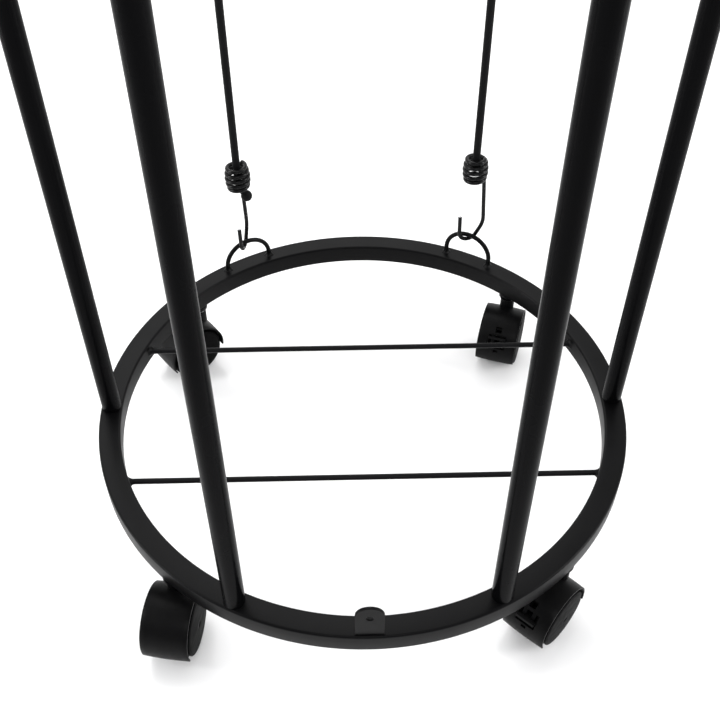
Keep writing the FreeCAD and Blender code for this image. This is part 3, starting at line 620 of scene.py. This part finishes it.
def add_fillet(bm, foot, direction, wire_r, on_wall):
    """Hand-laid weld fillet round a wire's end. on_wall puts a point of the foot on the welded wall."""
    side = direction.orthogonal().normalized()
    up = direction.cross(side)
    loops = []
    for k in range(FILLET_RINGS + 1):
        share = k / FILLET_RINGS
        flare = (1 - share) ** FILLET_CURVE
        loop = []
        for i in range(FILLET_SIDES):
            turn = 2 * math.pi * i / FILLET_SIDES
            around = side * math.cos(turn) + up * math.sin(turn)
            ripple = 1 + RIPPLE_DEPTH * math.sin(RIPPLES * turn + RIPPLE_TWIST * share)
            radius = wire_r * FILLET_FIT + WELD_SPREAD * flare * ripple
            point = foot + around * radius
            point += around * lump(point) * flare
            crest = 1 + FILLET_CREST * math.cos(2 * turn)
            loop.append(on_wall(point) + direction * (WELD_LENGTH * share * crest))
        loops.append(loop)
    skin(bm, loops)


def add_tack(bm, wall_y, level, rise):
    """Overlapping puddles of a short weld run in the corner between a tab and its ring."""
    for n in range(TACK_PUDDLES):
        x = (n / (TACK_PUDDLES - 1) - 0.5) * (TACK_LENGTH - TACK_END)
        centre = Vector((x, wall_y, level))
        size = PUDDLE_R + PUDDLE_VARIES * math.sin(n * PUDDLE_PHASE)
        rows = []
        for k in range(PUDDLE_ROWS + 1):
            tilt = math.pi / 2 * k / PUDDLE_ROWS
            spread = size * (1 - PUDDLE_NARROWS * math.sin(tilt))
            row = []
            for i in range(PUDDLE_POINTS + 1):
                turn = math.pi * i / PUDDLE_POINTS
                row.append(centre + Vector((spread * math.cos(turn) * math.cos(tilt * PUDDLE_TILT),
                                            size * math.sin(turn) * math.cos(tilt),
                                            rise * size * math.sin(turn) * math.sin(tilt))))
            rows.append(row)
        skin(bm, rows, closed=False)
    bmesh.ops.remove_doubles(bm, verts=bm.verts, dist=0.002 * MM)


def make_welds():
    """Fillets at the cross wires and ears and tacks behind the tabs, in place of the plain CAD collars."""
    bm = bmesh.new()
    middle_z = (BASE_LOW.z + BASE_HIGH.z) / 2
    for node in CROSS_WIRES:
        low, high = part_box(node)
        y = (low.y + high.y) / 2
        wire_r = (high.z - low.z) / 2
        for side in (-1, 1):
            def on_inner_wall(point, side=side):
                x = math.sqrt(max((RING_INNER_R + WELD_INSET) ** 2 - point.y ** 2, 0))
                return Vector((side * x, point.y, point.z))

            add_fillet(bm, Vector((0, y, middle_z)), Vector((-side, 0, 0)), wire_r, on_inner_wall)
    for node in EARS:
        low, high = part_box(node)
        lower = node.startswith("lower")
        wall_z = low.z - WELD_INSET if lower else high.z + WELD_INSET
        rise = Vector((0, 0, 1 if lower else -1))
        crown = (low + high) / 2
        along = Vector((-crown.y, crown.x, 0)).normalized()
        out = Vector((crown.x, crown.y, 0)).normalized() * RING_MID_R
        for side in (-1, 1):
            foot = out + along * (EAR_SPAN / 2 * side)
            foot.z = wall_z

            def on_flat(point, wall_z=wall_z):
                return Vector((point.x, point.y, wall_z))

            add_fillet(bm, foot, rise, EAR_WIRE_R, on_flat)
    for node, level, rise in (("anchor_tab_base", BASE_HIGH.z, 1), ("anchor_tab_top", TOP_RING_LOW_Z, -1)):
        add_tack(bm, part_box(node)[1].y, level, rise)
    stand_in(to_object(bm, "weld_fillets"), POWDER, "frame", "weld_beads")


# ---- hooks ----
def coil_line_radius(share):
    """Radius of the wire's centre in the coil, from its low end to its high end."""
    swell = math.sin(math.pi * (COIL_SWELL[0] + (COIL_SWELL[1] - COIL_SWELL[0]) * share))
    return COIL_END_R + (COIL_MID_R - COIL_END_R) * swell - WIRE_R


def coil_points(high, low):
    """Centre of the wound wire, from the coil's upper end to its lower end."""
    points = []
    for i in range(COIL_POINTS + 1):
        share = i / COIL_POINTS
        done = COIL_TURNS * share
        fall = (done - COIL_FLAT_TURNS) / (COIL_TURNS - 2 * COIL_FLAT_TURNS)
        z = high + (low - high) * min(max(fall, 0), 1)
        radius = coil_line_radius(1 - share)
        turn = COIL_START_TURN + 2 * math.pi * (COIL_TURNS - done)
        points.append(Vector((radius * math.cos(turn), radius * math.sin(turn), z)))
    return points


def hook_line(side):
    """Centre of a lower hook's wire: from the coil's upper end down to the tip, with the tip toward +X."""
    box_low, box_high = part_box("lower_hook_" + side)
    bend_z = box_low.z + WIRE_R
    coil_low = box_high.z - COIL_LENGTH + WIRE_R
    coil = coil_points(box_high.z - WIRE_R, coil_low)
    top = Vector((SHANK_TOP_X, 0, coil_low))
    knee = Vector((SHANK_X, 0, bend_z + KNEE_RISE))
    centre = Vector((BEND_X, 0, bend_z + BEND_R))
    tip = Vector((BEND_X + BEND_R + TIP_FLARE, 0, bend_z + TIP_RISE))
    controls = [coil[-1], top + COIL_EXIT]
    controls += [top.lerp(knee, share) for share in SHANK_SHARES] + [knee]
    for degrees in BEND_DEGREES:
        turn = math.radians(degrees)
        controls.append(centre + Vector((BEND_R * math.cos(turn), 0, BEND_R * math.sin(turn))))
    controls.append(Vector((BEND_X + BEND_R + TIP_FLARE / 2, 0, (centre.z + tip.z) / 2)))
    controls.append(tip)
    return coil[:-1] + smooth_route("hook_route_" + side, controls, resolution=HOOK_RESOLUTION)


def make_hook(level, side):
    """One wire hook: coil, shank, bend and a bare, sheared tip."""
    line = even_points(hook_line(side), WIRE_STEP)
    radii = [WIRE_R] * len(line)
    for i, taper in enumerate(END_TAPERS):
        radii[i] = radii[-1 - i] = WIRE_R * taper
    line[1] = line[0].lerp(line[1], END_STEP)
    line[-2] = line[-1].lerp(line[-2], END_STEP)
    bm = bmesh.new()
    skin(bm, tube_loops(line, radii, WIRE_SIDES))
    cord = centre_of("elastic_cord_" + side)
    heading = Matrix.Rotation(math.radians(HOOK_HEADINGS[side]), 4, "Z")
    place = Matrix.Translation((cord.x, cord.y, 0)) @ heading
    body = "lower_hook_" + side
    if level == "upper":
        body = "frame"
        flip = Matrix.Translation((0, 0, 2 * MIRROR_Z)) @ Matrix.Scale(-1, 4, (0, 0, 1))
        place = flip @ place
    bmesh.ops.transform(bm, matrix=place, verts=bm.verts)
    hook = to_object(bm, level + "_wire_hook_" + side)
    stand_in(hook, WIRE_COAT, body, level + "_hook_" + side)
    hook.data.materials.append(CUT_STEEL)
    tip = place @ line[-1]
    for face in hook.data.polygons:
        if (face.center - tip).length < CUT_END:
            face.material_index = 1


# ---- cords and knobs ----
def braid_height(u, v):
    """Height from 0 to 1 of a diamond braid, where strands of two hands pass over each other in turn."""
    strand_u = 1 - (2 * (u % 1) - 1) ** 2
    strand_v = 1 - (2 * (v % 1) - 1) ** 2
    over = math.cos(math.pi * math.floor(u)) * math.cos(math.pi * math.floor(v)) * (1 - BRAID_LEVEL)
    return max(strand_u ** BRAID_ROUNDNESS * (BRAID_LEVEL + over * strand_v),
               strand_v ** BRAID_ROUNDNESS * (BRAID_LEVEL - over * strand_u))


def braided_mesh(name, line, radius):
    """Tube with its braid modelled in the surface."""
    loops = []
    core = radius - BRAID_DEPTH
    travelled = 0.0
    for k, (point, (side, up)) in enumerate(zip(line, turning_frames(line))):
        if k:
            travelled += (point - line[k - 1]).length
        along = travelled / BRAID_PITCH
        loop = []
        for i in range(CORD_SIDES):
            around = BRAID_CARRIERS * i / CORD_SIDES
            height = braid_height(around + along, around - along)
            turn = 2 * math.pi * i / CORD_SIDES
            out = side * math.cos(turn) + up * math.sin(turn)
            loop.append(point + out * (core + BRAID_DEPTH * height))
        loops.append(loop)
    bm = bmesh.new()
    skin(bm, loops)
    return to_object(bm, name)


def make_cord(side):
    """One elastic cord, taut between its two hooks."""
    low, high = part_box("elastic_cord_" + side)
    x, y = (low.x + high.x) / 2, (low.y + high.y) / 2
    quarter = (high.z - low.z) / 4
    route = [(x, y, high.z), (x, y, high.z - quarter), (x, y, high.z - 2 * quarter), (x, y, low.z + quarter),
             (x, y, low.z)]
    line = smooth_route("cord_route_" + side, route)
    cord = braided_mesh("braided_cord_" + side, even_points(line, CORD_STEP), CORD_DIAMETER / 2)
    cord.data.materials.append(BRAID)
    length = sum((b - a).length for a, b in zip(line, line[1:]))
    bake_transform(cord)
    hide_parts("elastic_cord_" + side)
    return cord, route, line, length


def add_knob(bm, centre, axis, radius):
    """Moulded knob: a ball with a short collar toward the cord and a flat gate mark at its far end."""
    side = axis.orthogonal().normalized()
    up = axis.cross(side)
    turns = [math.radians(degrees) for degrees in KNOB_BALL_DEGREES]
    profile = KNOB_COLLAR + [(math.sin(turn), math.cos(turn)) for turn in turns] + KNOB_GATE_MARK
    skin(bm, [circle(centre + axis * (along * radius), side, up, across * radius, KNOB_SIDES)
              for along, across in profile])


def make_knobs():
    """The knob that hangs out of the left coil, the one inside the right coil and the two in the upper coils."""
    cord = centre_of("elastic_cord_left")
    mouth = Vector((cord.x, cord.y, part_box("lower_hook_left")[1].z - COIL_LENGTH))
    centre = mouth + Vector((KNOB_SIDE, 0, -KNOB_DROP))
    inside = mouth + Vector((0, 0, 9 * MM))
    route = [inside, inside - Vector((0, 0, 4 * MM)), mouth + Vector((0.4 * MM, 0, 1.0 * MM)),
             centre + Vector((-1.6 * MM, 0, 2.6 * MM)), centre]
    line = even_points(smooth_route("cord_end_route", route), CORD_STEP)
    end = braided_mesh("left_cord_end", line, CORD_END_R)
    stand_in(end, BRAID, "lower_hook_left", "cord_knob_left")
    bm = bmesh.new()
    add_knob(bm, centre, (line[-4] - centre).normalized(), KNOB_R)
    left = to_object(bm, "left_cord_knob")
    stand_in(left, RUBBER, "lower_hook_left", "cord_knob_left")
    bm = bmesh.new()
    add_knob(bm, centre_of("cord_knob_right"), Vector((0, 0, 1)), INNER_KNOB_R)
    right = to_object(bm, "right_cord_knob")
    stand_in(right, RUBBER, "lower_hook_right", "cord_knob_right")
    bm = bmesh.new()
    for side in SIDES:
        cord = centre_of("elastic_cord_" + side)
        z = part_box("elastic_cord_" + side)[1].z + KNOB_R - CORD_BITE
        add_knob(bm, Vector((cord.x, cord.y, z)), Vector((0, 0, -1)), INNER_KNOB_R)
    stand_in(to_object(bm, "upper_inner_knobs"), RUBBER, "frame", "upper_cord_knobs")
    return {"left": [end, left], "right": [right]}


# ---- wheels ----
def wheel_profile(radius, inner_v, outer_v):
    """Half section of a wheel from its hub's inner side, round the tread, to the middle of its outer face."""
    face_r = radius - WHEEL_FACE_SETBACK
    rim = radius - WHEEL_RIM
    hub = WHEEL_HUB_R
    well = inner_v + WHEEL_WELL
    # The inner side: bore, hub, the well between hub and rim, rim and the tread's rounded edge.
    points = [(WHEEL_BORE_R, inner_v), (hub - 0.3 * MM, inner_v), (hub, inner_v + 0.3 * MM),
              (hub + 0.1 * MM, well - 0.5 * MM), (hub + 0.6 * MM, well), (rim - 0.6 * MM, well),
              (rim - 0.1 * MM, well - 0.5 * MM), (rim, inner_v + 0.3 * MM), (rim + 0.3 * MM, inner_v),
              (radius - 0.5 * MM, inner_v), (radius - 0.14 * MM, inner_v + 0.15 * MM),
              (radius, inner_v + 0.5 * MM)]
    # The tread stops short inside the hood, so that a dark gap runs round the smaller outer disc.
    step_v = outer_v - DISC_STEP
    points += [(radius, step_v - 0.5 * MM), (radius - 0.15 * MM, step_v - 0.15 * MM), (radius - 0.5 * MM, step_v),
               (face_r + 0.25 * MM, step_v), (face_r, step_v + 0.25 * MM)]
    for step in range(DISC_EDGE_STEPS + 1):
        turn = math.pi / 2 * step / DISC_EDGE_STEPS
        points.append((face_r - DISC_EDGE * (1 - math.cos(turn)), outer_v - DISC_EDGE * (1 - math.sin(turn))))
    # A fine groove runs round the face just inside its edge, then the face domes gently to a small gate mark.
    lip = face_r - FACE_LIP
    dome_r = lip - 0.50 * MM
    points += [(lip + 0.25 * MM, outer_v + 0.02 * MM), (lip + 0.05 * MM, outer_v - FACE_GROOVE),
               (lip - 0.30 * MM, outer_v - FACE_GROOVE), (dome_r, outer_v + 0.05 * MM)]
    for step in range(1, DOME_STEPS + 1):
        share = step / DOME_STEPS
        r = dome_r * (1 - share) + GATE_R * share
        points.append((r, outer_v + 0.05 * MM + (WHEEL_DOME - 0.1 * MM) * (1 - (r / lip) ** 2)))
    gate_v = outer_v + WHEEL_DOME - GATE_DEPTH
    points += [(GATE_R - 0.15 * MM, gate_v), (0.3 * MM, gate_v)]
    return points


def make_wheel(corner, letter):
    """One moulded wheel, turned about its axle."""
    node = corner + "_wheel_" + letter
    joint = next(j for j in frame["joints"] if j["name"] == node + "_spin")
    centre = Vector(joint["pos_m"])
    axis = Vector(joint["axis"]) * (1 if letter == "a" else -1)
    low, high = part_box(node)
    radius = (high.z - low.z) / 2
    side = Vector((0, 0, 1))
    up = axis.cross(side)
    bm = bmesh.new()
    skin(bm, [circle(centre + axis * v, side, up, r, WHEEL_SIDES)
              for r, v in wheel_profile(radius, WHEEL_INNER_V, WHEEL_OUTER_V)])
    wheel = to_object(bm, corner + "_moulded_wheel_" + letter)
    stand_in(wheel, WHEEL_NYLON, node, node)


# ---- camera, floor and light ----
def make_camera():
    """Camera high on the closed side, looking down through the posts into the base ring."""
    data = bpy.data.cameras.new("camera")
    data.lens = CAMERA_LENS
    data.sensor_width = SENSOR_WIDTH
    data.clip_start = CLIP_START
    data.clip_end = CLIP_END
    camera = link(data, "camera")
    camera.location = CAMERA_PLACE
    level = CAMERA_FORWARD.to_track_quat("-Z", "Y")
    roll = Matrix.Rotation(CAMERA_ROLL, 4, CAMERA_FORWARD)
    camera.matrix_world = Matrix.Translation(camera.location) @ roll @ level.to_matrix().to_4x4()
    bpy.context.scene.camera = camera


def add_lamp(name, place, width, height, power):
    """Soft rectangular light that faces the rack's lower part."""
    data = bpy.data.lights.new(name, "AREA")
    data.shape = "RECTANGLE"
    data.size = width
    data.size_y = height
    data.energy = power
    lamp = link(data, name)
    lamp.location = place
    lamp.rotation_mode = "QUATERNION"
    lamp.rotation_quaternion = (Vector(LAMP_TARGET) - Vector(place)).to_track_quat("-Z", "Y")


def make_floor():
    """Plain white floor."""
    bm = bmesh.new()
    bmesh.ops.create_grid(bm, x_segments=FLOOR_SEGMENTS, y_segments=FLOOR_SEGMENTS, size=FLOOR_SIZE)
    floor = to_object(bm, "studio_floor")
    floor.data.materials.append(pale_floor())


def make_world():
    """Surroundings that are dim behind the camera's side, -Y, and bright beyond the open side, +Y."""
    world = bpy.data.worlds.new("studio")
    bpy.context.scene.world = world
    world.use_nodes = True
    nodes, links = world.node_tree.nodes, world.node_tree.links
    background = nodes["Background"]
    coords = nodes.new("ShaderNodeTexCoord")
    parts = nodes.new("ShaderNodeSeparateXYZ")
    toward = nodes.new("ShaderNodeMapRange")
    toward.inputs["From Min"].default_value = -1.0
    toward.inputs["From Max"].default_value = 1.0
    ramp = nodes.new("ShaderNodeValToRGB")
    links.new(coords.outputs["Generated"], parts.inputs["Vector"])
    links.new(parts.outputs["Y"], toward.inputs["Value"])
    links.new(toward.outputs["Result"], ramp.inputs["Fac"])
    for stop, (place, colour) in zip(ramp.color_ramp.elements, WORLD_STOPS):
        stop.position = place
        stop.color = colour
    links.new(ramp.outputs["Color"], background.inputs["Color"])
    background.inputs["Strength"].default_value = WORLD_STRENGTH


def make_stage():
    """White floor, surroundings, an overhead key, two side strips and a soft box on the near side."""
    make_floor()
    make_world()
    for lamp in LAMPS:
        add_lamp(*lamp)
    bpy.context.scene.view_settings.view_transform = "Standard"
    bpy.context.scene.view_settings.look = "None"


# ---- the whole scene ----
make_camera()
for side in SIDES:
    for level in ("lower", "upper"):
        make_hook(level, side)
knobs = make_knobs()
for side in SIDES:
    cord, route, line, length = make_cord(side)
dress_cad_nodes()
make_ring("base_ring", "base_tube_ring")
make_ring("top_ring", "top_tube_ring")
make_welds()
for corner in CORNERS:
    for letter in "ab":
        make_wheel(corner, letter)
make_stage()
